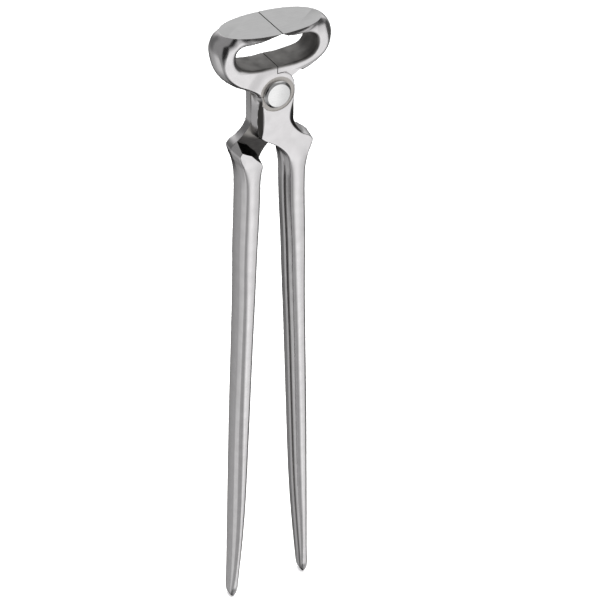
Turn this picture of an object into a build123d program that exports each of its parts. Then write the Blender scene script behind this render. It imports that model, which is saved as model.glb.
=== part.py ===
from build123d import *
import os
from math import asin, degrees, radians, sqrt, tan

os.makedirs("parts", exist_ok=True)

# A hoof nipper: two identical drop forgings crossed on one rivet. The origin is on the rivet
# axis, in the plane where the two cheeks meet. +Z runs up to the jaws, +X to the right jaw,
# and -Y to the side of the factory rivet head. All sizes are in mm.

# Overall sizes
overall_length = 355.6      # 14 in, from the rein tips to the ground jaw flats
jaw_height = 34.2           # ground jaw flats above the rivet axis
jaw_flat_length = 52.2      # both flats together, closed
cutting_width = 25.6        # length of the cutting edges, 1 in

# Jaw arms and the throat that they close round
arm_depth = 16.5            # front face to back face
arm_width = 7.8             # beside the throat, at the faces
arm_barrel = 2.2            # more width half way through the depth
side_lean = 0.3             # the sides draw in this much up to the flare
arm_corner = 3.4            # the lower outer corner is rounded in this far
web_own = 7.4               # steel under the throat on the arm's own side
web_rise = 0.8              # the arm's underside over the other cheek climbs this much outwards
throat_half_width = 21.0
throat_height = 13.9        # floor to roof
throat_corner = 5.8         # corner radius of the throat
floor_rise = 1.6            # the floor climbs this much from the middle to the corners
edge_thickness = 0.8        # steel left over the cutting edge
edge_bevel_length = 5.0     # bevel under each cutting edge
lip_thickness = 1.6         # rim of the ground flat
lip_height = 6.0            # the flare runs down this far from the rim

# Joint
cheek_thickness = 7.7       # each half beside the joint plane, and half the rein's depth
boss_radius = 10.8
notch_clearance = 0.45      # boss to the other half's notch
notch_spare = 0.25          # the notch's flat top stands this much further off the boss
notch_half_width = 13.0     # the flat top runs out this far
root_thickness = 3.3        # arm between the notch and the throat
jaw_gap = 0.06              # between the closed jaws
face_gap = 0.05             # between the two cheeks
opening_angle = 42          # degrees of swing from closed
swing_spare = 2.5           # degrees that the relief under the arm allows beyond it

# Neck and shoulder
neck_half_width = 9.8
edge_radius = 2.0           # along the outer edges of the cheek, the shoulder and the rein
neck_length = 21.6          # down to the lower corner of the cheek
neck_hollow = 1.0           # the neck's outer side is hollowed this much
crotch_depth = 28.6         # where the cheek crosses the middle line
crotch_bow = 1.8            # the crotch bows in this much before the rein
shoulder_out = 18.6         # widest point of the shoulder
shoulder_depth = 29.6
step_radius = 33.4          # turned face round the joint, on the side away from the cheek

# Reins
rein_gap_top = 8.4          # middle line to the inner edge, under the crotch
rein_thickness_top = 7.4
rein_thickness_low = 5.4
rein_depth_low = 12.6
rein_spread_low = 20.3      # middle line to the rein's own middle, near the tips
rein_top = 52.0             # rein_gap_top and rein_thickness_top are taken here
tip_thickness = 2.2
tip_depth = 5.0
tip_flare = 1.4             # the tips turn out this much
tip_length = 50.0           # the reins taper to their tips over this length

# Rivet
rivet_radius = 4.8
rivet_head_radius = 7.25
rivet_face_radius = 5.5
rivet_head_height = 2.2
seat_radius = 9.4           # spot-faced seat round the rivet
seat_depth = 0.2
rivet_running_clearance = 0.05
head_running_clearance = 0.05

rein_tip = jaw_height - overall_length
rein_depth_top = 2 * cheek_thickness
boss_join = sqrt(boss_radius**2 - neck_half_width**2)
flat_half = jaw_flat_length / 2
notch_height = boss_radius + notch_clearance + notch_spare
throat_floor = notch_height + root_thickness
throat_roof = throat_floor + throat_height
side_height = (throat_floor + throat_roof) / 2
waist_height = jaw_height - lip_thickness - lip_height
seat_face = cheek_thickness - seat_depth
far = 4 * arm_depth         # cutters run past every face


def across(y, points):
    """A list of (x, z) pairs as points in the plane at y."""
    return [(x, y, z) for x, z in points]


def outline_face(y, corners, curve):
    """A face at y: straight runs through the corners, closed by a curve from last to first."""
    runs = Polyline(*across(y, corners))
    edge = Spline(*across(y, curve))
    return make_face(runs.edges() + edge.edges())


def jaw_section(y, side, bottom, root):
    """One slice of the left arm under the flare, with no throat in it."""
    corner = (-(side - arm_corner), (side_height + bottom) / 2 + 0.4)
    under = (-(throat_half_width - 2), bottom + (throat_floor - bottom) / 8)
    shoulder = (-(side - side_lean), waist_height)
    curve = [shoulder, (-side, side_height), corner, under, root]
    foot = (-jaw_gap / 2, root[1])
    top = (-jaw_gap / 2, waist_height)
    return outline_face(y, [root, foot, top, shoulder], curve)


def jaw_arm():
    """The barrel-sided arm: low where it meets its own cheek, high over the other one."""
    half = arm_depth / 2
    side = throat_half_width + arm_width
    own = jaw_section(-half, side, throat_floor - web_own, (-(boss_radius - 1.2), 0))
    middle = jaw_section(0, side + arm_barrel, throat_floor - web_own - 2, (-(boss_radius - 0.6), 0))
    other = jaw_section(half, side, notch_height + web_rise, (-boss_radius, notch_height))
    return loft([own, middle, other])


def lens(height, half_width, half_depth, corner_x, corner_y):
    """A level face with bowed front and back and rounded ends."""
    hip_y = corner_y + 0.84 * (half_depth - corner_y)
    bow = [(-corner_x, -corner_y), (-corner_x / 2, -hip_y), (0, -half_depth)]
    bow += [(-x, y) for x, y in bow[1::-1]]
    front = Spline(*[(x, y, height) for x, y in bow])
    back = Spline(*[(-x, -y, height) for x, y in bow])
    right = ThreePointArc(front @ 1, (half_width, 0, height), (corner_x, corner_y, height))
    left = ThreePointArc((-corner_x, corner_y, height), (-half_width, 0, height), front @ 0)
    return make_face(front.edges() + right.edges() + back.edges() + left.edges())


def jaw_flare():
    """The arms' tops, waisted in at the ends and flared out to the rim of the ground flat."""
    rim = jaw_height - lip_thickness
    half_depth = cutting_width / 2
    side = throat_half_width + arm_width - side_lean
    flat = lens(rim, flat_half, half_depth, flat_half - 2.3, 0.46 * half_depth)
    waist = lens(waist_height, side + arm_barrel, arm_depth / 2, side, arm_depth / 2 - 0.02)
    left = Pos(-far / 2 - jaw_gap / 2, 0, 0) * Box(far, far, 2 * far)
    return (loft([waist, flat]) + extrude(flat, lip_thickness)) & left


def throat_cutter():
    """The throat right through: a rounded oval whose roof climbs to the cutting edges."""
    wide = throat_half_width
    corner_floor = throat_floor + floor_rise
    bevel = [(edge_bevel_length, throat_roof), (0, jaw_height - edge_thickness)]
    right = [(0, throat_floor), (wide, corner_floor), (wide, throat_roof)] + bevel
    left = [(-x, z) for x, z in reversed(right[1:-1])]
    oval = make_face(Polyline(*across(0, right + left), close=True).edges())
    hole = extrude(oval, far / 2, dir=(0, 1, 0), both=True)
    upright = [e for e in hole.edges().filter_by(Axis.Y) if abs(e.center().X) > wide - 0.01]
    return fillet(upright, throat_corner)


def cheek_outline():
    """Neck, shoulder and the top of the rein, seen from the front."""
    inner = rein_gap_top
    outer = rein_gap_top + rein_thickness_top
    waist = neck_half_width
    low = -rein_top
    left = [(-waist, -boss_join), (-waist, -neck_length)]
    crotch = [(-waist, -neck_length), (0, -crotch_depth), (inner - crotch_bow, 0.72 * low), (inner, low)]
    right = [(outer, low), (shoulder_out - 0.9, -shoulder_depth - 6), (shoulder_out, -shoulder_depth)]
    top = [right[-1], (waist + 0.6, -neck_length)]
    top += [(waist - neck_hollow, -(boss_join + neck_length) / 2), (waist, -boss_join)]
    wire = Polyline(*across(0, left)).edges()
    wire += Spline(*across(0, crotch)).edges()
    wire += Line(*across(0, [crotch[-1], right[0]])).edges()
    wire += Spline(*across(0, right)).edges()
    wire += Spline(*across(0, top)).edges()
    wire += Line(*across(0, [top[-1], left[0]])).edges()
    return make_face(wire)


def edges_at(shape, y, low, high):
    """The edges of a plate that lie in the plane at y, between two heights."""
    flat = [e for e in shape.edges() if abs(e.center().Y - y) < 0.01]
    return [e for e in flat if low + 0.01 < e.center().Z < high - 0.01]


def cheek():
    """Boss, neck and shoulder on the front of the joint plane."""
    plate = extrude(cheek_outline(), cheek_thickness, dir=(0, -1, 0))
    plate = fillet(edges_at(plate, -cheek_thickness, -rein_top, -boss_join), edge_radius)
    boss = Cylinder(boss_radius, cheek_thickness, align=(Align.CENTER, Align.CENTER, Align.MIN))
    return plate + Rot(90, 0, 0) * boss


def knee():
    """The shoulder at the rein's full depth, turned back round the joint behind the cheek."""
    block = extrude(cheek_outline(), rein_depth_top / 2, dir=(0, 1, 0), both=True)
    rims = edges_at(block, rein_depth_top / 2, -rein_top, -shoulder_depth)
    rims += edges_at(block, -rein_depth_top / 2, -rein_top, -shoulder_depth)
    return fillet(rims, edge_radius) - behind(step_radius)


def rein_section(depth_down, middle, thickness, depth):
    """A rounded bar section, wide from front to back, at depth_down below the rivet axis."""
    radius = min(edge_radius, 0.45 * thickness)
    return Pos(middle, 0, -depth_down) * RectangleRounded(thickness, depth, radius)


def rein():
    """The rein as one tapering bar from the knee to the turned-out tip."""
    top_middle = rein_gap_top + rein_thickness_top / 2
    low = -rein_tip - tip_length
    run = low - rein_top
    sections = [rein_section(rein_top - 4, top_middle, rein_thickness_top, rein_depth_top)]
    for share in (0, 0.15, 0.35, 0.6, 0.8, 1):
        middle = top_middle + (rein_spread_low - top_middle) * share
        thickness = rein_thickness_top + (rein_thickness_low - rein_thickness_top) * min(1, 1.6 * share)
        depth = rein_depth_top + (rein_depth_low - rein_depth_top) * share
        sections.append(rein_section(rein_top + run * share, middle, thickness, depth))
    for share in (0.5, 0.85):
        middle = rein_spread_low + (tip_flare + 1) * share**2
        thickness = rein_thickness_low + (tip_thickness - rein_thickness_low) * share**2
        depth = rein_depth_low + (tip_depth - rein_depth_low) * share
        sections.append(rein_section(low + tip_length * share, middle, thickness, depth))
    sections.append(rein_section(-rein_tip, rein_spread_low + tip_flare + 1, tip_thickness, tip_depth))
    return loft(sections, ruled=True)


def behind(radius):
    """A cylinder round the rivet axis on the back of the joint plane."""
    cutter = Cylinder(radius, far, align=(Align.CENTER, Align.CENTER, Align.MIN))
    return Pos(0, -face_gap / 2, 0) * (Rot(-90, 0, 0) * cutter)


def swing_cutter():
    """Room behind the joint plane for the other cheek to swing up under the arm."""
    notch = boss_radius + notch_clearance
    neck_angle = degrees(asin(sqrt(notch**2 - neck_half_width**2) / notch))
    rise = tan(radians(opening_angle + swing_spare - neck_angle))
    reach = 3 * boss_radius
    ramp = notch_half_width + 4
    room = [
        (0, notch_height),
        (-notch_half_width, notch_height),
        (-ramp, ramp * rise),
        (-reach, reach * rise),
        (-reach, -reach),
        (0, -reach),
    ]
    face = make_face(Polyline(*across(-face_gap / 2, room), close=True).edges())
    return extrude(face, far, dir=(0, 1, 0))


def half(hole_radius):
    """The forging with its joint faces machined, as the front half: left jaw, right rein."""
    arm = jaw_arm() + jaw_flare() - throat_cutter()
    arm = arm - behind(boss_radius + notch_clearance) - swing_cutter()
    plate = Pos(0, -face_gap / 2, 0) * cheek()
    body = arm + plate + knee() + rein()
    hole = Rot(90, 0, 0) * Cylinder(hole_radius, far)
    seat = Rot(90, 0, 0) * Cylinder(seat_radius, far, align=(Align.CENTER, Align.CENTER, Align.MIN))
    return body - hole - Pos(0, -seat_face, 0) * seat


def pivot_rivet():
    """Shank, factory head on the front seat, and the head upset on the back seat."""
    front = seat_face
    back = seat_face + head_running_clearance
    profile = [
        (0, -front - rivet_head_height),
        (rivet_face_radius, -front - rivet_head_height),
        (rivet_head_radius, -front - rivet_head_height / 3),
        (rivet_head_radius, -front),
        (rivet_radius, -front),
        (rivet_radius, back),
        (rivet_head_radius, back),
        (rivet_head_radius, back + rivet_head_height / 3),
        (rivet_face_radius, back + rivet_head_height),
        (0, back + rivet_head_height),
    ]
    section = make_face(Polyline(*[(x, y, 0) for x, y in profile], close=True).edges())
    return revolve(section, Axis.Y)


parts = {
    "front_half": half(rivet_radius),
    "rear_half": Rot(0, 0, 180) * half(rivet_radius + rivet_running_clearance),
    "pivot_rivet": pivot_rivet(),
}

for name, shape in parts.items():
    export_step(shape, f"parts/{name}.step")
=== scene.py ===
from math import cos, pi, radians, sin

import bmesh
import bpy
import numpy as np
from mathutils import Matrix, Vector


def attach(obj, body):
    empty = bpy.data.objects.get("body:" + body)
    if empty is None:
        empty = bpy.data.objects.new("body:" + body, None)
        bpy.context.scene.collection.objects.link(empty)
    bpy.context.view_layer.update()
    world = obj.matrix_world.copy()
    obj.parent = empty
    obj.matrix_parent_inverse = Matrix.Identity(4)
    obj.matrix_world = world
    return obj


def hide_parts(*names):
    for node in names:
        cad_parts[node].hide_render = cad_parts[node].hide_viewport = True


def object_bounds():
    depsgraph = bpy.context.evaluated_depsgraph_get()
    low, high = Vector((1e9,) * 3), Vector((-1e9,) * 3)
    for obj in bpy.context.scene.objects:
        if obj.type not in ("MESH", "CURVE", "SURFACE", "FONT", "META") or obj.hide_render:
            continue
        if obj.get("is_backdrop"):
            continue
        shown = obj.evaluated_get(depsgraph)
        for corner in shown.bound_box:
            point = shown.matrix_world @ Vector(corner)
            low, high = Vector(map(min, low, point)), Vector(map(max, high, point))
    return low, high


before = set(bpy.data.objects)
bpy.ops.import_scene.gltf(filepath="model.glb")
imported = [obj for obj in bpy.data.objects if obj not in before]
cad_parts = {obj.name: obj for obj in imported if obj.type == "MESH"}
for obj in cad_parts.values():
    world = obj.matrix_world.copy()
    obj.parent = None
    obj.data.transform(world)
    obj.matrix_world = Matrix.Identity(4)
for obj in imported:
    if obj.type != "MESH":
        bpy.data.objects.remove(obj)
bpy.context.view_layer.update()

mm = 0.001
print("frame loaded:", sorted(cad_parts))

view = {
    "lookAt": (18.56, 0.0, -130.33),    # mm, in the plane of the joint
    "azimuth": -28.84,                  # degrees, 0 looks along +Y
    "elevation": 35.09,
    "roll": 1.04,
    "distance": 1006.8,                 # mm
    "lens": 116.1,                      # mm on a 36 mm sensor
}


def placeCamera():
    a, e, r = (radians(view[k]) for k in ("azimuth", "elevation", "roll"))
    back = Vector((sin(a) * cos(e), -cos(a) * cos(e), sin(e)))
    level = Vector((cos(a), sin(a), 0))
    rise = back.cross(level)
    right = level * cos(r) + rise * sin(r)
    up = rise * cos(r) - level * sin(r)
    data = bpy.data.cameras.new("camera")
    data.lens = view["lens"]
    data.sensor_width = 36
    data.clip_start = 0.05
    camera = bpy.data.objects.new("camera", data)
    bpy.context.scene.collection.objects.link(camera)
    turn = Matrix((right, up, back)).transposed().to_4x4()
    place = (Vector(view["lookAt"]) + back * view["distance"]) * mm
    camera.matrix_world = Matrix.Translation(place) @ turn
    bpy.context.scene.camera = camera


placeCamera()


def toLinear(hexColour):
    channels = [int(hexColour[i:i + 2], 16) / 255 for i in (1, 3, 5)]
    return [c / 12.92 if c <= 0.04045 else ((c + 0.055) / 1.055) ** 2.4 for c in channels] + [1.0]


def addNode(tree, kind, inputs=None, **properties):
    # inputs holds a value to set or a socket to link, under each input's name or number
    node = tree.nodes.new(kind)
    for name, value in properties.items():
        setattr(node, name, value)
    for name, value in (inputs or {}).items():
        if isinstance(value, bpy.types.NodeSocket):
            tree.links.new(value, node.inputs[name])
        else:
            node.inputs[name].default_value = value
    return node


room = {
    "wall": 0.27,          # brightness of the tent all round
    "darkest": 0.012,
    # Panels in the tent. Azimuth is 0 in front of the tool and 90 at its right; all angles are in degrees.
    # azimuth, elevation, half width, half height, softness, brightness added
    "panels": [
        (32, -10, 20, 50, 14, 0.50),       # tall white card in front, a little to the right
        (6, -34, 24, 22, 14, 0.30),        # lower card that overlaps its left part
        (-22, 0, 26, 20, 10, -0.26),       # black flag at the front left
        (-60, -38, 34, 14, 14, 0.10),      # pale paper under it
        (-108, -36, 20, 18, 18, 0.38),     # pale wall at the left
        (-142, -36, 16, 18, 18, 0.12),     # and its back part, less bright
        (80, -6, 24, 20, 14, -0.20),       # black flag at the right
        (76, -38, 22, 12, 14, -0.12),      # and its lower edge
        (100, -62, 34, 10, 14, 0.40),      # paper at the right, seen by the undersides
        (164, -50, 20, 24, 12, -0.25),     # the tool's own shadow on the paper
        (0, -90, 200, 15, 10, -0.26),      # and straight beneath it
        (-10, -66, 50, 12, 12, -0.16),     # and towards the front
        (-160, 8, 24, 26, 16, -0.13),      # dim corner at the back left
        (148, 36, 46, 30, 24, 0.52),       # high card at the back right, mirrored by the ground top
    ],
}


def lightRoom():
    # a light tent: each panel brightens or darkens its own soft-edged patch of the wall
    world = bpy.data.worlds.new("lightTent")
    bpy.context.scene.world = world
    world.use_nodes = True
    tree = world.node_tree
    tree.nodes.clear()
    seen = addNode(tree, "ShaderNodeTexCoord").outputs["Generated"]
    way = addNode(tree, "ShaderNodeSeparateXYZ", {0: seen})
    front = addNode(tree, "ShaderNodeMath", {0: way.outputs["Y"], 1: -1}, operation="MULTIPLY")
    around = addNode(tree, "ShaderNodeMath", {0: way.outputs["X"], 1: front.outputs[0]}, operation="ARCTAN2")
    upward = addNode(tree, "ShaderNodeMath", {0: way.outputs["Z"]}, operation="ARCSINE")
    total = room["wall"]
    for azimuth, elevation, halfWidth, halfHeight, softness, gain in room["panels"]:
        patch = gain
        for angle, middle, half in ((around, azimuth, halfWidth), (upward, elevation, halfHeight)):
            inputs = {0: angle.outputs[0], 1: radians(middle)}
            off = addNode(tree, "ShaderNodeMath", inputs, operation="SUBTRACT")
            off = addNode(tree, "ShaderNodeMath", {0: off.outputs[0], 1: pi, 2: -pi}, operation="WRAP")
            off = addNode(tree, "ShaderNodeMath", {0: off.outputs[0]}, operation="ABSOLUTE")
            inputs = {
                "Value": off.outputs[0],
                "From Min": radians(half + softness / 2),
                "From Max": radians(half - softness / 2),
            }
            band = addNode(tree, "ShaderNodeMapRange", inputs, interpolation_type="SMOOTHSTEP")
            inputs = {0: band.outputs[0], 1: patch}
            patch = addNode(tree, "ShaderNodeMath", inputs, operation="MULTIPLY").outputs[0]
        total = addNode(tree, "ShaderNodeMath", {0: patch, 1: total}, operation="ADD").outputs[0]
    bright = addNode(tree, "ShaderNodeMath", {0: total, 1: room["darkest"]}, operation="MAXIMUM")
    inputs = {"Color": (1, 1, 1, 1), "Strength": bright.outputs[0]}
    wall = addNode(tree, "ShaderNodeBackground", inputs)
    addNode(tree, "ShaderNodeOutputWorld", {"Surface": wall.outputs[0]})


lightRoom()

overhead = {
    "place": (0.15, -0.2, 1.6),     # m
    "target": (0, 0, -0.3),
    "size": 1.6,
    "power": 62,                    # W
}


def hangOverhead():
    data = bpy.data.lights.new("overhead", "AREA")
    data.shape = "DISK"
    data.size = overhead["size"]
    data.energy = overhead["power"]
    light = bpy.data.objects.new("overhead", data)
    bpy.context.scene.collection.objects.link(light)
    light.location = overhead["place"]
    aim = Vector(overhead["target"]) - Vector(overhead["place"])
    light.rotation_euler = aim.to_track_quat("-Z", "Y").to_euler()
    light.visible_glossy = False      # the metal mirrors the tent's panels only


hangOverhead()

paper = {
    "floorSize": 12,                        # m
    "tints": ("#f4f4f4", "#f8f8f8"),
    "glow": 0.4,                            # lit from beneath, so the tips cast no dark shadow
    "backdropRadius": 5.0,                  # m
    "backdropWhite": "#fefefe",
    "backdropLevels": (-12, 0, 15, 30, 45, 60, 75, 88),     # degrees up, ring by ring
    "backdropTurns": 40,
}


def layFloor():
    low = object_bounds()[0][2]
    bpy.ops.mesh.primitive_plane_add(size=paper["floorSize"], location=(0, 0, low - 0.2 * mm))
    floor = bpy.context.object
    floor.name = "floor"
    # Matt paper sweep: no shine, and a grain that only just varies its white.
    material = bpy.data.materials.new("paleMattPaper")
    material.use_nodes = True
    tree = material.node_tree
    shader = tree.nodes["Principled BSDF"]
    shader.inputs["Roughness"].default_value = 0.9
    grain = addNode(tree, "ShaderNodeTexNoise", {"Scale": 900.0, "Detail": 2.0})
    light, dark = (toLinear(tint) for tint in paper["tints"])
    inputs = {"Factor": grain.outputs["Fac"], "A": light, "B": dark}
    tint = addNode(tree, "ShaderNodeMix", inputs, data_type="RGBA")
    tree.links.new(tint.outputs["Result"], shader.inputs["Base Color"])
    shader.inputs["Emission Color"].default_value = (1, 1, 1, 1)
    shader.inputs["Emission Strength"].default_value = paper["glow"]
    floor.data.materials.append(material)
    floor.visible_glossy = False      # the metal reflects the tent, not the paper it stands on
    floor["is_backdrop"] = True


layFloor()


def hangBackdrop():
    # white paper all round, far behind the floor: it lights nothing, and the metal sees the tent instead
    radius, turns = paper["backdropRadius"], paper["backdropTurns"]
    angles = [2 * pi * t / turns for t in range(turns)]
    levels = [radians(angle) for angle in paper["backdropLevels"]]
    points = []
    for up in levels:
        points += [(radius * cos(up) * cos(a), radius * cos(up) * sin(a), radius * sin(up)) for a in angles]
    faces = []
    for ring in range(len(levels) - 1):
        at = ring * turns
        for t in range(turns):
            u = (t + 1) % turns
            faces.append([at + t, at + u, at + turns + u, at + turns + t])
    faces.append([(len(levels) - 1) * turns + t for t in range(turns)])
    mesh = bpy.data.meshes.new("backdrop")
    mesh.from_pydata(points, [], faces)
    material = bpy.data.materials.new("whiteSeamlessPaper")
    material.use_nodes = True
    shader = material.node_tree.nodes["Principled BSDF"]
    shader.inputs["Base Color"].default_value = (0, 0, 0, 1)
    shader.inputs["Emission Color"].default_value = toLinear(paper["backdropWhite"])
    shader.inputs["Emission Strength"].default_value = 1.0
    mesh.materials.append(material)
    backdrop = bpy.data.objects.new("backdrop", mesh)
    bpy.context.scene.collection.objects.link(backdrop)
    backdrop.visible_diffuse = False
    backdrop.visible_glossy = False
    backdrop.visible_transmission = False
    backdrop.visible_shadow = False
    backdrop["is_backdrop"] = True


hangBackdrop()
bpy.context.scene.view_settings.view_transform = "Standard"
print("studio set up")


def smoothRun(points, steps=12):
    # a smooth curve through the points, with tangents that allow for uneven spacing
    p = np.array(points, float)
    if len(p) < 3:
        return p
    gap = np.linalg.norm(np.diff(p, axis=0), axis=1) ** 0.5
    slope = np.diff(p, axis=0) / gap[:, None]
    tangent = np.vstack([slope[:1], np.zeros((len(p) - 2, 2)), slope[-1:]])
    before, after = gap[:-1, None], gap[1:, None]
    tangent[1:-1] = (slope[:-1] * after + slope[1:] * before) / (before + after)
    t = np.linspace(0, 1, steps, endpoint=False)[:, None]
    stretches = []
    for i, h in enumerate(gap):
        start = (2 * t**3 - 3 * t**2 + 1) * p[i] + (t**3 - 2 * t**2 + t) * h * tangent[i]
        end = (3 * t**2 - 2 * t**3) * p[i + 1] + (t**3 - t**2) * h * tangent[i + 1]
        stretches.append(start + end)
    return np.vstack(stretches + [p[-1:]])


def outline(*runs):
    # a closed outline of smooth runs that meet at corners; its points are (x, z) in mm
    loop = np.vstack([smoothRun(run) for run in runs])
    keep = np.linalg.norm(loop - np.roll(loop, -1, axis=0), axis=1) > 1e-6
    return loop[keep]


def distanceTo(loop, x, z):
    # distance to a closed outline in the plane of the jaws, less than 0 inside
    nearest = np.full(np.broadcast(x, z).shape, 1e9)
    inside = np.zeros(nearest.shape, bool)
    for (ax, az), (bx, bz) in zip(loop, np.roll(loop, -1, axis=0)):
        ex, ez = bx - ax, bz - az
        px, pz = x - ax, z - az
        t = np.clip((px * ex + pz * ez) / (ex * ex + ez * ez), 0, 1)
        nearest = np.minimum(nearest, (px - t * ex) ** 2 + (pz - t * ez) ** 2)
        if az != bz:
            inside ^= ((az > z) != (bz > z)) & (px < pz * ex / ez)
    return np.sqrt(nearest) * np.where(inside, -1, 1)


def both(a, b, r):
    # what two shapes share, with the edge between them rounded to r
    return np.minimum(np.maximum(a, b), -r) + np.hypot(np.maximum(a + r, 0), np.maximum(b + r, 0))


def either(a, b, r):
    # two shapes joined, with a fillet of r in the corner between them
    return np.maximum(np.minimum(a, b), r) - np.hypot(np.maximum(r - a, 0), np.maximum(r - b, 0))


def ease(low, high, value):
    # rises softly from 0 at low to 1 at high
    t = np.clip((value - low) / (high - low), 0, 1)
    return t * t * (3 - 2 * t)


jaw = {
    "height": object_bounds()[1][2] / mm,     # ground flat above the rivet
    "flatHalfLength": 26.1,
    "edgeHalfLength": 12.8,
    "lensPower": 2.2,                     # 2 is an ellipse, more is fuller
    "halfDepth": 8.25,
    "bossDrop": 0.5,                      # the arm's faces ease down this much to the cheek's face
    "bossReach": (11, 18),                # between these distances from the rivet
    "shapeFrom": (24.5, 28.8),            # heights where the ends start to draw in, the middle to flare
    "rimRounding": (0.9, 3.6),            # of the arm's long edges, low down and under the flare
    "rimHeights": (19, 30),               # it grows between these heights
    "edgeRounding": 0.15,                 # of the throat's rim, beside the cutting edge
    "throatRounding": 0.9,                # along its roof and floor
    "endRounding": (2.0, 0.5),            # extra at its ends, on the arm's own face and on the other face
    "grindSpare": 1.5,                    # the forging stands this proud before its top is ground
}

throatSide = [
    (5.2, 29.9), (8.5, 29.2), (13.5, 28.9), (17.8, 28.1), (20.4, 26.2), (21.2, 23.3), (20.6, 20.3),
    (18.5, 17.6), (15.0, 15.9), (8.5, 14.9), (0, 14.8)]
throat = outline(
    throatSide + [(-x, z) for x, z in throatSide[-2::-1]],
    [(-5.2, 29.9), (0, 33.7)], [(0, 33.7), (5.2, 29.9)])

# the arm's outside at its own face, half way through, and at the face over the other half's cheek
armOwn = outline(
    [(2, 42), (-28.2, 42)],
    [(-28.2, 42), (-28.4, 32), (-28.8, 24), (-28.0, 18.3), (-25.6, 13.6), (-20.5, 8.7), (-15, 5.6),
     (-10.8, 3.0), (-8.0, 0.6)],
    [(-8.0, 0.6), (-4, -7), (2, -7)])
armMiddle = outline(
    [(2, 42), (-30.6, 42)],
    [(-30.6, 42), (-30.9, 32), (-31.1, 24), (-29.9, 17.4), (-26.7, 12.1), (-21.2, 7.7), (-15.7, 5.1),
     (-12.0, 2.8), (-9.9, 0)],
    [(-9.9, 0), (-5, -8), (2, -8)])
armOther = outline(
    [(2, 42), (-28.0, 42)],
    [(-28.0, 42), (-28.2, 32), (-28.2, 24.5), (-27.2, 20.3), (-24.6, 16.4), (-20.2, 13.7), (-15.5, 12.0),
     (-10, 11.0), (-5, 10.9), (2, 10.9)])


def armShape(x, y, z):
    # the barrel-sided arm with its throat, flared out at the top to the rim of the ground flat
    near, far = jaw["bossReach"]
    deep = jaw["halfDepth"] - jaw["bossDrop"] * (1 - ease(near, far, np.hypot(x, z)))
    u = np.clip(y / jaw["halfDepth"], -1, 1)
    side = distanceTo(armOwn, x, z) * u * (u - 1) / 2
    side = side + distanceTo(armMiddle, x, z) * (1 - u * u)
    side = side + distanceTo(armOther, x, z) * u * (u + 1) / 2
    low, high = jaw["rimRounding"]
    bottom, top = jaw["rimHeights"]
    arm = both(side, np.abs(y) - deep, low + (high - low) * ease(bottom, top, z))
    k = jaw["lensPower"]
    across, through = np.abs(x) / jaw["flatHalfLength"], np.abs(y) / jaw["edgeHalfLength"]
    lens = ((across**k + through**k) ** (1 / k) - 1) * jaw["edgeHalfLength"]
    trimFrom, flareFrom = jaw["shapeFrom"]
    trim = np.clip((z - trimFrom) / (jaw["height"] - trimFrom), 0, 1.1)**2
    flare = np.clip((z - flareFrom) / (jaw["height"] - flareFrom), 0, 1.1)**1.4
    outer = arm + (lens - arm) * np.where(lens < arm, flare, trim)
    own, other = jaw["endRounding"]
    atEnds = ease(12, 20, np.abs(x)) * (own + (other - own) * ease(-6, 6, y))
    start = jaw["edgeRounding"]
    rounding = start + (jaw["throatRounding"] - start) * ease(1, 6, np.abs(x)) + atEnds
    shape = both(outer, -distanceTo(throat, x, z), rounding)
    return np.maximum(np.maximum(shape, x - 1), z - jaw["height"] - jaw["grindSpare"])


# the neck, knee and handle from the front, at the outer face and at the joint plane
cheekFace = outline(
    [(-6, 9), (-3, 10.7), (0, 11.0), (4.2, 10.5), (7, 8.8), (8.8, 6.0), (9.5, 2.5), (9.5, -1.5), (8.8, -5.5),
     (7.7, -9.5), (7.1, -13.0), (7.3, -16.2), (8.7, -19.2), (11.2, -22.4), (14.4, -25.2), (18.3, -27.4),
     (20.0, -29.6), (19.4, -33), (17.7, -38), (16.5, -45), (16.3, -54), (16.6, -66), (17.4, -90),
     (17.7, -115), (18.8, -150), (20.5, -200), (21.8, -250), (22.7, -280), (23.6, -302), (24.4, -313)],
    [(24.4, -313), (24.5, -318), (23.5, -320.4), (22.2, -320.8), (20.6, -318)],
    [(20.6, -318), (19.6, -302), (18, -280), (16.1, -250), (14.1, -200), (12.3, -150), (10.9, -115),
     (10, -90), (8.8, -66), (8.4, -54), (8.2, -47), (7.6, -41.8), (6.4, -36.9), (3.8, -32.7),
     (0.5, -29.2), (-2.7, -26.8), (-5.9, -24.8), (-8.4, -22.6)],
    [(-8.4, -22.6), (-7.5, -19), (-7, -15), (-7, -11), (-7.5, -6), (-7.6, -1), (-7.4, 4), (-6, 9)])
cheekJoint = outline(
    [(-6, 9), (-3, 10.6), (0, 11.0), (5.6, 9.5), (9.2, 6.0), (10.5, 1.0), (10.4, -6), (10.2, -12),
     (10.5, -17.5), (12.8, -21.2), (16.2, -24.4), (19.8, -27.1), (21.1, -29.5), (20.2, -33.4),
     (18.6, -38), (17.3, -45), (17.1, -54), (17.4, -66), (18.2, -90), (18.5, -115), (19.5, -150),
     (21.2, -200), (22.3, -250), (23.1, -280), (23.9, -302), (24.6, -313)],
    [(24.6, -313), (24.7, -318), (23.6, -320.8), (22.2, -321.2), (20.5, -318)],
    [(20.5, -318), (18.8, -302), (17, -280), (15, -250), (12.9, -200), (11, -150), (9.4, -115), (8.5, -90),
     (7.3, -66), (7, -54), (7, -47), (6.6, -41.8), (5.4, -36.9), (2.9, -32.9), (-0.4, -29.6), (-3.6, -27.2),
     (-6.9, -25.4), (-9.8, -23.2)],
    [(-9.8, -23.2), (-10.1, -18), (-10.1, -9), (-10, 0), (-9, 5), (-6, 9)])

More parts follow.
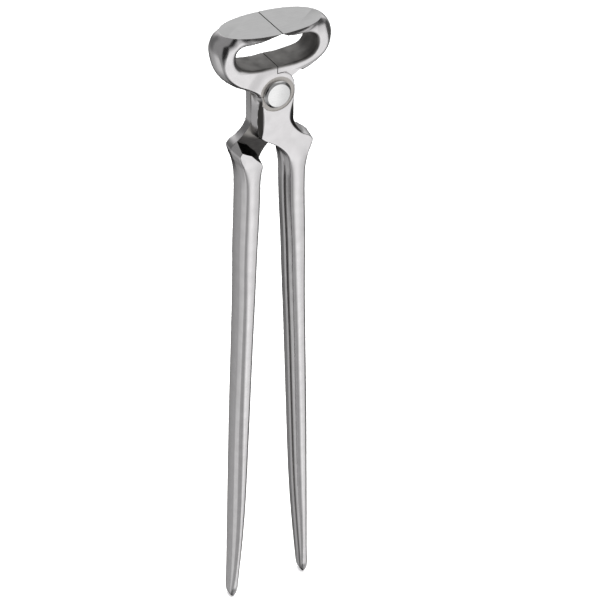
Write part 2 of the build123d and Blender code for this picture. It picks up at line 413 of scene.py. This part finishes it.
handle = {
    # height, half depth from front to back, rounding of the long edges
    "stations": [
        (12, 7.75, 0.35), (-24, 7.75, 0.35), (-34, 7.7, 0.7), (-52, 7.7, 0.9), (-90, 7.6, 1.0),
        (-130, 7.5, 1.4), (-200, 7.2, 1.7), (-250, 6.9, 1.7), (-274, 6.5, 1.6), (-291, 5.8, 1.4),
        (-305, 5.0, 1.1), (-314, 4.3, 0.9), (-322, 2.4, 0.6)],
    "gripFrom": (-48, -30),       # heights between which the neck turns into the grip
    "bevelFrom": 0.80,            # the neck's bevel starts at this part of the half depth
    "bevelMiddle": -13.5,         # where the bevel is widest
    "bevelReach": 12,             # it dies out this far above and below
    "bevelDepth": 0.88,           # how much of the cheek's draft it takes up
    "middle": [(-45, 12.4), (-66, 12.7), (-115, 14.3), (-200, 17.3), (-280, 20.4), (-322, 22.6)],
    "crown": 0.4,                 # the broad faces are this much proud in the middle
    "seam": (0.35, 0.6, -2.4),    # depth, half width and place of the trimmed flash line on the inner side
    "lean": (0.08, 0.40),         # slopes in front of that line and along the outer side's back edge
    "leanFrom": 3,                # the outer slope starts this far behind the joint plane
}


def middleOf(z):
    # the grip's own middle line, from its height
    height, middle = np.array(handle["middle"][::-1]).T
    return np.interp(z, height, middle)


def handleShape(x, y, z):
    height, depth, rounding = np.array(handle["stations"][::-1]).T
    deep = np.interp(z, height, depth)
    edge = np.interp(z, height, rounding)
    bottom, top = handle["gripFrom"]
    low = 1 - ease(bottom, top, z)        # 0 in the neck, 1 in the grip
    off = x - middleOf(z)
    toOuter = ease(-1, 1, off)            # 0 on the inner side, 1 on the outer
    t = np.clip(np.abs(y) / deep, 0, 1)
    start = handle["bevelFrom"]
    bulge = np.clip(1 - ((z - handle["bevelMiddle"]) / handle["bevelReach"])**2, 0, 1)
    even = 1 - handle["bevelDepth"] * bulge
    neck = even * t + (1 - even) * np.clip((t - start) / (1 - start), 0, 1)
    draft = neck * (1 - low) + t**(1 + toOuter) * low
    side = distanceTo(cheekJoint, x, z) * (1 - draft) + distanceTo(cheekFace, x, z) * draft
    cut, width, place = handle["seam"]
    side = side + cut * np.exp(-((y - place) / width)**2) * low * (off < 0) * ease(-316, -300, z)
    inner, outer = handle["lean"]
    side = side + inner * np.maximum(place - y, 0) * (1 - toOuter) * low * ease(-320, -290, z)
    outer = outer * (1 - 0.7 * ease(-290, -150, z))
    side = side + outer * np.maximum(y - handle["leanFrom"], 0) * toOuter * low
    deep = deep - handle["crown"] * low * np.clip(off / 3.6, -1.2, 1.2)**2
    return both(side, np.abs(y) - deep, edge)


blend = {
    "fillet": (0.02, 0.5),        # where arm and handle meet: left at their faces, added half way through
    "fadeFrom": (6.2, 7.4),       # distances from the joint plane between which it fades
}


def blankShape(x, y, z):
    # arm and handle in one, filleted half way through and flush at the faces
    least, more = blend["fillet"]
    near, far = blend["fadeFrom"]
    fillet = least + more * (1 - ease(near, far, np.abs(y)))
    return either(armShape(x, y, z), handleShape(x, y, z), fillet)


def skinOf(shape, xs, ys, zs):
    # one point in each cell that the surface crosses, then quads round every crossed grid line
    value = shape(xs[:, None, None], ys[None, :, None], zs[None, None, :])
    inside = value < 0
    counts = np.array(value.shape) - 1
    grids = (xs, ys, zs)
    sums = np.zeros((counts.prod(), 3))
    hits = np.zeros(counts.prod())
    quads = []

    def cellId(i, j, k):
        return (i * counts[1] + j) * counts[2] + k

    for axis in range(3):
        low = np.take(inside, range(counts[axis]), axis)
        high = np.take(inside, range(1, counts[axis] + 1), axis)
        at = np.array(np.nonzero(low != high))
        after = at.copy()
        after[axis] += 1
        a, b = value[tuple(at)], value[tuple(after)]
        share = a / (a - b)
        point = np.array([g[i] for g, i in zip(grids, at)])
        point[axis] += share * (grids[axis][after[axis]] - grids[axis][at[axis]])
        one, two = [o for o in range(3) if o != axis]
        ring = []
        for stepOne, stepTwo in ((1, 1), (0, 1), (0, 0), (1, 0)):
            cell = at.copy()
            cell[one] -= stepOne
            cell[two] -= stepTwo
            ids = cellId(*cell)
            hits += np.bincount(ids, minlength=len(hits))
            for c in range(3):
                sums[:, c] += np.bincount(ids, point[c], minlength=len(hits))
            ring.append(ids)
        ring = np.array(ring).T
        outward = inside[tuple(at)] ^ (axis == 1)
        quads.append(np.where(outward[:, None], ring, ring[:, ::-1]))
    used = np.nonzero(hits)[0]
    index = np.full(len(hits), -1)
    index[used] = np.arange(len(used))
    points = sums[used] / hits[used, None]
    return points, index[np.vstack(quads)].tolist()


def settle(points, shape, rounds=2):
    # moves each point onto the surface along the shape's own slope
    nudge = 0.02
    for _ in range(rounds):
        x, y, z = points.T
        value = shape(x, y, z)
        ahead = np.array([shape(x + nudge, y, z), shape(x, y + nudge, z), shape(x, y, z + nudge)]).T
        slope = (ahead - value[:, None]) / nudge
        size = np.maximum((slope**2).sum(1), 0.2)
        points = points - np.clip(value / size, -0.3, 0.3)[:, None] * slope
    return points


def meshPiece(name, points, faces):
    mesh = bpy.data.meshes.new(name)
    mesh.from_pydata((np.asarray(points) * mm).tolist(), [], faces)
    mesh.update()
    piece = bpy.data.objects.new(name, mesh)
    bpy.context.scene.collection.objects.link(piece)
    return piece


fine = 0.45        # mm between grid lines in the head
coarse = 1.3                              # and along the grip
xs = np.arange(-33, 27, fine)
ys = np.arange(-14, 14 + fine, fine)
zs = np.concatenate([np.arange(-324, -56, coarse), np.arange(-56, jaw["height"] + 3, fine)])
blankPoints, blankFaces = skinOf(blankShape, xs, ys, zs)
blankPoints = settle(blankPoints, blankShape)
print("forged blank:", len(blankPoints), "points")

forgedLook = {
    "light": "#eeeced",        # bright plating on the ridges and faces
    "dull": "#dcdadb",         # where the plating is thinner and greyer
    "wearSize": 6.0,           # mm across those patches
    "shelter": ("#4c4a49", "#b9b7b5"),    # forging scale left inside the throat, in patches
    "patchSize": 7.0,          # mm across those patches
    "oxide": "#5c5a58",        # black oxide in the flash line and along the neck's bevels
    "grainSize": 0.9,          # mm across the fine forged grain
    "grainDepth": 0.004,       # mm
    "waveSize": 14.0,          # mm across the slow hand-ground waves
    "waveDepth": 0.04,         # mm
    "roughness": (0.17, 0.27),
    "shelterRoughness": 0.55,
}


def forgedFinish():
    # Chrome-plated drop-forged steel, tumbled before plating: soft mirror with slow waves and fine grain.
    # It keeps the silvery gradients of the studio but blurs them, and goes dull and dark in the throat.
    look = forgedLook
    material = bpy.data.materials.new("chromePlatedForgedSteelTumbled")
    material.use_nodes = True
    tree = material.node_tree
    shader = tree.nodes["Principled BSDF"]
    shader.inputs["Metallic"].default_value = 1.0
    place = addNode(tree, "ShaderNodeTexCoord").outputs["Object"]
    shelter = addNode(tree, "ShaderNodeAttribute", attribute_name="shelter").outputs["Fac"]
    oxide = addNode(tree, "ShaderNodeAttribute", attribute_name="oxide").outputs["Fac"]
    noise = {}
    for name, size, detail in (("grain", look["grainSize"], 3.0), ("waves", look["waveSize"], 1.5),
                               ("wear", look["wearSize"], 4.0), ("patches", look["patchSize"], 2.0)):
        inputs = {"Vector": place, "Scale": 1 / (size * mm), "Detail": detail}
        noise[name] = addNode(tree, "ShaderNodeTexNoise", inputs).outputs["Fac"]

    inputs = {"Factor": noise["wear"], "A": toLinear(look["light"]), "B": toLinear(look["dull"])}
    plate = addNode(tree, "ShaderNodeMix", inputs, data_type="RGBA")
    scaleLight, scaleDark = (toLinear(tone) for tone in look["shelter"])
    inputs = {"Factor": noise["patches"], "A": scaleLight, "B": scaleDark}
    scale = addNode(tree, "ShaderNodeMix", inputs, data_type="RGBA")
    inputs = {"Factor": shelter, "A": plate.outputs["Result"], "B": scale.outputs["Result"]}
    colour = addNode(tree, "ShaderNodeMix", inputs, data_type="RGBA")
    inputs = {"Factor": oxide, "A": colour.outputs["Result"], "B": toLinear(look["oxide"])}
    stained = addNode(tree, "ShaderNodeMix", inputs, data_type="RGBA")
    tree.links.new(stained.outputs["Result"], shader.inputs["Base Color"])

    low, high = look["roughness"]
    rough = addNode(tree, "ShaderNodeMapRange", {"Value": noise["wear"], "To Min": low, "To Max": high})
    inputs = {"Factor": shelter, "A": rough.outputs["Result"], "B": look["shelterRoughness"]}
    dull = addNode(tree, "ShaderNodeMix", inputs)
    tree.links.new(dull.outputs["Result"], shader.inputs["Roughness"])

    inputs = {"Height": noise["waves"], "Distance": look["waveDepth"] * mm, "Strength": 1.0}
    slow = addNode(tree, "ShaderNodeBump", inputs)
    inputs = {"Height": noise["grain"], "Distance": look["grainDepth"] * mm, "Strength": 1.0}
    inputs["Normal"] = slow.outputs["Normal"]
    relief = addNode(tree, "ShaderNodeBump", inputs)
    tree.links.new(relief.outputs["Normal"], shader.inputs["Normal"])
    return material


def groundFinish(name, light, dark, rough, grit, depth, along, rubbedWearAndShade=None):
    # Bare steel ground or machined in one direction: marks are long along one axis and close across it.
    # grit is the marks' spacing and depth is their depth, both in mm.
    material = bpy.data.materials.new(name)
    material.use_nodes = True
    tree = material.node_tree
    shader = tree.nodes["Principled BSDF"]
    shader.inputs["Metallic"].default_value = 1.0
    place = addNode(tree, "ShaderNodeTexCoord").outputs["Object"]
    squeeze = [0.06 if axis == along else 1.0 for axis in "xyz"]
    stretch = addNode(tree, "ShaderNodeMapping", {"Vector": place, "Scale": squeeze})
    inputs = {"Vector": stretch.outputs["Vector"], "Scale": 1 / (grit * mm), "Detail": 3.0}
    marks = addNode(tree, "ShaderNodeTexNoise", inputs)
    cloudSize = 5.0       # mm across the slow changes of tone
    inputs = {"Vector": place, "Scale": 1 / (cloudSize * mm), "Detail": 3.0}
    clouds = addNode(tree, "ShaderNodeTexNoise", inputs)
    inputs = {0: marks.outputs["Fac"], 1: clouds.outputs["Fac"], 2: 0.1}
    mixed = addNode(tree, "ShaderNodeMath", inputs, operation="MULTIPLY_ADD")
    inputs = {"Factor": mixed.outputs[0], "A": toLinear(light), "B": toLinear(dark)}
    colour = addNode(tree, "ShaderNodeMix", inputs, data_type="RGBA")
    if rubbedWearAndShade:
        # the other half rubs the face clean inside this radius round the rivet; outside it the face keeps
        # its darker tones, which are painted shade
        tone, inside, outside = rubbedWearAndShade
        level = addNode(tree, "ShaderNodeVectorMath", {0: place, 1: (1, 0, 1)}, operation="MULTIPLY")
        radius = addNode(tree, "ShaderNodeVectorMath", {0: level.outputs["Vector"]}, operation="LENGTH")
        inputs = {"Value": radius.outputs["Value"], "From Min": inside * mm, "From Max": outside * mm}
        paintedShadeOutward = addNode(tree, "ShaderNodeMapRange", inputs, interpolation_type="SMOOTHSTEP")
        inputs = {"Factor": paintedShadeOutward.outputs["Result"], "A": toLinear(tone), "B": colour.outputs["Result"]}
        colour = addNode(tree, "ShaderNodeMix", inputs, data_type="RGBA")
    tree.links.new(colour.outputs["Result"], shader.inputs["Base Color"])
    inputs = {"Value": marks.outputs["Fac"], "To Min": rough - 0.05, "To Max": rough + 0.07}
    spread = addNode(tree, "ShaderNodeMapRange", inputs)
    tree.links.new(spread.outputs["Result"], shader.inputs["Roughness"])
    inputs = {"Height": marks.outputs["Fac"], "Distance": depth * mm, "Strength": 1.0}
    bump = addNode(tree, "ShaderNodeBump", inputs)
    tree.links.new(bump.outputs["Normal"], shader.inputs["Normal"])
    return material


# The nipping edges are ground flat after plating: bare satin steel, pale, with marks across the seam.
groundFlat = groundFinish(
    "surfaceGroundSteel", light="#dedede", dark="#c4c4c4", rough=0.42, grit=0.6, depth=0.006, along="x")
# The joint faces are milled and left bare and matt; their dark tones, darker away from the rivet towards the
# step, are painted shade, and the face is rubbed paler near the rivet.
machinedWithPaintedShade = groundFinish(
    "milledSteelPaintedShade", light="#716f6e", dark="#252424", rough=0.5, grit=0.35, depth=0.01, along="x",
    rubbedWearAndShade=("#c2bfbb", 24.5, 28.0))
# The step's wall below them is coloured near black: painted shade of the crevice there, and it gives back
# almost nothing.
paintedStepShade = groundFinish(
    "paintedShadeStepWall", light="#1c1b1a", dark="#0e0e0e", rough=0.5, grit=0.5, depth=0.006, along="y")
# The spot face round the rivet is turned through the plating: a beige grey ring with no shine.
spotFaced = groundFinish(
    "spotFacedSteel", light="#e2deda", dark="#cac6c1", rough=0.5, grit=0.3, depth=0.008, along="z")
# Where the jaws meet, the faces and their grooves are coloured dark grey: painted shade of the seam between
# the jaws.
seamPaintedShade = groundFinish(
    "meetingFacePaintedShade", light="#6c6a69", dark="#4c4b4a", rough=0.45, grit=0.5, depth=0.006, along="y")
# The rivet is bright drawn steel, closed hot and polished: it mirrors the studio most sharply.
rivetSteel = groundFinish(
    "polishedRivetSteel", light="#f2f2f2", dark="#dcdcdc", rough=0.14, grit=0.5, depth=0.003, along="x")
forged = forgedFinish()
print("finishes ready")

joint = {
    "faceGap": 0.025,          # each cheek stands this far off the joint plane
    "jawGap": 0.07,            # each jaw stands this far off the middle
    "jawGroove": 0.28,         # the meeting edges are eased back this far on top
    "frontGroove": 0.2,        # and this far under the throat
    "grooveTop": (23, 24),     # heights between which that groove runs out
    "notchHeight": 11.2,       # room for the other half's boss, above the rivet
    "notchGap": 0.4,           # the jaw's own boss stops this far under it
    "notchHalf": 13.0,
    "rampFoot": (-17.0, 5.65),
    "stepRadius": 33.6,        # step round the joint where the handle becomes full depth, at the outer face
    "stepFoot": 31.0,          # the step leans in to this radius at the joint face
    "stepDepth": 7.7,          # from one to the other
    "holeRadius": 4.85,
    "seatRadius": 9.15,
    "seatFace": 7.5,
}
clear = 20      # mm, cutters run this far past the forging


def arc(radius, start, end, steps):
    angles = np.radians(np.linspace(start, end, steps))
    return [(radius * cos(a), radius * sin(a)) for a in angles]


def bladeOf(name, loop, front, back, widen=1.0):
    # a cutter: a flat outline in the plane of the jaws, drawn out from front to back and widened on the way
    n = len(loop)
    points = [(x, front, z) for x, z in loop] + [(x * widen, back, z * widen) for x, z in loop]
    faces = [list(range(n)), list(range(2 * n - 1, n - 1, -1))]
    faces += [[i, i + n, (i + 1) % n + n, (i + 1) % n] for i in range(n)]
    return meshPiece(name, points, faces)


def cutAway(piece, cutter, finish):
    cutter.data.materials.append(finish)
    modifier = piece.modifiers.new("cut", "BOOLEAN")
    modifier.operation = "DIFFERENCE"
    modifier.solver = "EXACT"
    modifier.material_mode = "TRANSFER"
    modifier.object = cutter
    depsgraph = bpy.context.evaluated_depsgraph_get()
    cut = bpy.data.meshes.new_from_object(piece.evaluated_get(depsgraph))
    piece.modifiers.clear()
    piece.data = cut
    bpy.data.objects.remove(cutter)


def smoothShade(mesh, angle=34):
    mesh.polygons.foreach_set("use_smooth", [True] * len(mesh.polygons))
    mesh.set_sharp_from_angle(angle=radians(angle))


wear = {
    "scaleFade": (0.3, 1.7),      # distance from the throat's own surface over which the scale fades out
    "scaleTop": (33.6, 33.9),     # heights between which it stops under the ground flat
    "bevelFacing": (0.3, 0.45),   # how far a face leans, both ways, to count as the neck's bevel
    "bevelReach": (10.5, 12.5),   # distance from the bevel's middle over which its oxide fades
    "flashWidth": 0.9,            # half width of the oxide in the flash line
    "flashTop": (-52, -42),       # heights between which that ends at the neck
}


def markWear(mesh):
    # two point attributes that the forged finish reads
    place = np.array([v.co for v in mesh.vertices]) / mm
    facing = np.abs(np.array([v.normal for v in mesh.vertices]))
    x, y, z = place.T
    # scale in the throat, fading out over its rounded rim
    off = np.abs(distanceTo(throat, x, z))
    shelter = (1 - ease(*wear["scaleFade"], off)) * (z > 10) * (1 - ease(*wear["scaleTop"], z))
    mesh.attributes.new("shelter", "FLOAT", "POINT").data.foreach_set("value", shelter)
    # black oxide along the neck's bevels and in the flash line on the handle's inner side
    lean = ease(*wear["bevelFacing"], facing)
    bevel = lean[:, 0] * lean[:, 1] * (y < -1)
    bevel = bevel * (1 - ease(*wear["bevelReach"], np.abs(z - handle["bevelMiddle"])))
    line = np.exp(-((y - handle["seam"][2]) / wear["flashWidth"])**2)
    line = line * (x < middleOf(z)) * (1 - ease(*wear["flashTop"], z))
    oxide = np.clip(bevel + line, 0, 1)
    mesh.attributes.new("oxide", "FLOAT", "POINT").data.foreach_set("value", oxide)


def makeHalf():
    # the forging, then its machining in the order that a shop would do it
    half = meshPiece("front_forging", blankPoints, blankFaces)
    half.data.materials.append(forged)
    half.data.materials.append(paintedStepShade)
    height = jaw["height"]
    ground = [(-40, height), (40, height), (40, 45), (-40, 45)]
    cutAway(half, bladeOf("topCut", ground, -clear, clear), groundFlat)

    high = joint["notchHeight"]
    low = high - joint["notchGap"]
    gap, groove, under = joint["jawGap"], joint["jawGroove"], joint["frontGroove"]
    grooveLow, grooveHigh = joint["grooveTop"]
    edge = [(-under, low), (10, low), (10, 45), (-groove, 45), (-groove, height)]
    edge += [(-gap, height - groove), (-gap, grooveHigh), (-under, grooveLow)]
    # the seam's faces and grooves take the dark grey painted shade
    cutAway(half, bladeOf("seamCut", edge, -clear, clear), seamPaintedShade)

    reach, foot, wide = joint["stepRadius"], joint["stepFoot"], joint["notchHalf"]
    face = -joint["faceGap"]
    notch = [(wide, high), (-wide, high), joint["rampFoot"], (-reach, 3), (-reach, 0), (reach, 0)]
    cutAway(half, bladeOf("notchCut", notch, face, clear), forged)
    crotch = [(4.9, -40.2), (6.3, -36.3), (7.9, -33.4), (10.1, -31.2)]
    step = arc(foot, 180, 262, 23) + crotch + arc(foot, 294, 360, 19)
    widen = 1 + (reach / foot - 1) * clear / joint["stepDepth"]
    cutAway(half, bladeOf("stepCut", step, face, clear, widen), machinedWithPaintedShade)

    hole = arc(joint["holeRadius"], 0, 352.5, 48)
    cutAway(half, bladeOf("holeCut", hole, -12, 2), machinedWithPaintedShade)
    seat = arc(joint["seatRadius"], 0, 354, 60)
    cutAway(half, bladeOf("seatCut", seat, -12, -joint["seatFace"]), spotFaced)

    finishes = list(half.data.materials)
    # the milled faces of the step's own wall get the near-black painted shade
    for face in half.data.polygons:
        if finishes[face.material_index] == machinedWithPaintedShade:
            if abs(face.normal.y) < 0.5 and face.center.z < -20 * mm:     # the step's own wall
                face.material_index = finishes.index(paintedStepShade)
    smoothShade(half.data)
    markWear(half.data)
    return half


front = makeHalf()
print("front forging:", len(front.data.vertices), "points")
# the rear half is the same forging, turned half round
rear = front.copy()
rear.data = front.data.copy()
rear.name = "rear_forging"
rear.data.transform(Matrix.Rotation(pi, 4, "Z"))
bpy.context.scene.collection.objects.link(rear)

rivetShape = {
    "shank": 4.8,
    "face": 5.9,           # radius of the slightly domed face of each head
    "slope": 1.0,          # the bevelled rim drops this much from the face to the side
    "head": 7.2,
    "seat": 7.52,          # distance of the head's underside from the joint plane
    "crown": 9.75,         # distance of the middle of the head from the joint plane
    "dome": 0.25,          # the head's face drops this much by its edge
    "turns": 72,           # points round it
}


def makeRivet():
    s = rivetShape
    # radius and distance from the joint plane, from the middle of a face down to the shank
    face, head, slope = s["face"], s["head"], s["slope"]
    rim = s["crown"] - s["dome"]
    low, wide = rim - slope, head - 0.35
    profile = [(face * k / 5, s["crown"] - s["dome"] * (k / 5)**2) for k in range(6)]
    profile += [(face + (wide - face) * t, rim - slope * t) for t in (0.15, 0.5, 0.9)]
    profile += [(head - 0.1, low - 0.05), (head, low - 0.3), (head, s["seat"]), (s["shank"], s["seat"])]
    whole = [(r, -d) for r, d in profile] + [(r, d) for r, d in profile[::-1]]
    turns = s["turns"]
    angles = [2 * pi * t / turns for t in range(turns)]
    points = [(0, whole[0][1], 0)]
    for r, d in whole[1:-1]:
        points += [(r * cos(a), d, r * sin(a)) for a in angles]
    points.append((0, whole[-1][1], 0))
    rings = len(whole) - 2
    faces = [[1 + t, 1 + (t + 1) % turns, 0] for t in range(turns)]
    for ring in range(rings - 1):
        at = 1 + ring * turns
        for t in range(turns):
            u = (t + 1) % turns
            faces.append([at + t, at + u, at + u + turns, at + t + turns])
    last = 1 + (rings - 1) * turns
    faces += [[last + t, last + (t + 1) % turns, len(points) - 1] for t in range(turns)]
    rivet = meshPiece("rivet", points, faces)
    rivet.data.materials.append(rivetSteel)
    smoothShade(rivet.data)
    return rivet


def turnOutwards(mesh):
    form = bmesh.new()
    form.from_mesh(mesh)
    bmesh.ops.recalc_face_normals(form, faces=form.faces)
    form.to_mesh(mesh)
    form.free()


rivet = makeRivet()
turnOutwards(rivet.data)
print("rivet:", len(rivet.data.vertices), "points")

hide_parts("front_half")
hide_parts("rear_half")
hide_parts("pivot_rivet")
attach(front, "front_body")
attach(rear, "rear_body")
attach(rivet, "front_body")
